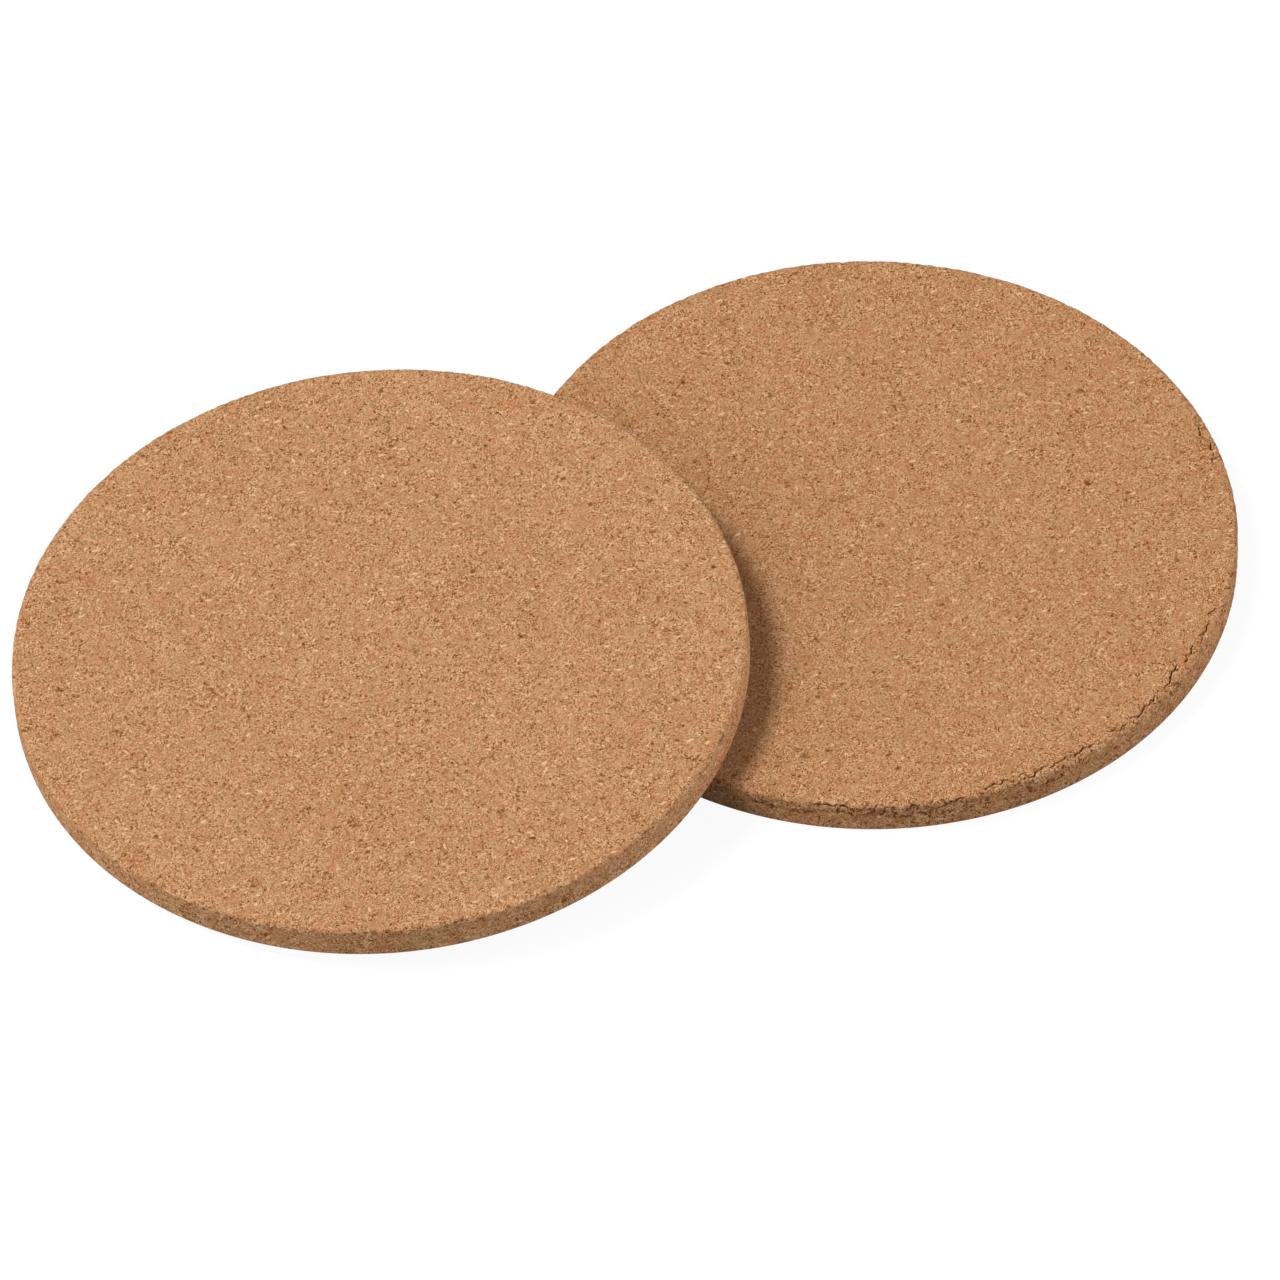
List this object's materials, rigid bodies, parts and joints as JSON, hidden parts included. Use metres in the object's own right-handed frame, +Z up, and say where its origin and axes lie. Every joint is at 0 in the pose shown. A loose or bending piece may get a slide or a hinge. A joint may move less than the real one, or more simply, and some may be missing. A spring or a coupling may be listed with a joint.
{
  "type": "trivet",
  "caption": "Flat round trivets of pressed cork with eased edges, overlapped so that the upper leans on the rim of the lower. They keep hot pots off a table.",
  "frame": {"origin": "on the table, under the middle of the pair's bounding box", "axes": "+Z up from the table; +X from the leaning trivet towards the flat one, along the pair's length; +Y away from the viewer"},
  "size_m": [0.3416, 0.2, 0.0242],
  "materials": {
    "pressed_cork": "bare sanded cork granules, matt"
  },
  "bodies": {
    "lower": {"lower_trivet": "pressed_cork"},
    "upper": {"upper_trivet": "pressed_cork"}
  },
  "joints": [
    {"name": "upper_trivet_lift", "type": "slide", "parent": "lower", "child": "upper", "axis": [0, 0, 1], "range_m": [0, 0.08]}
  ]
}
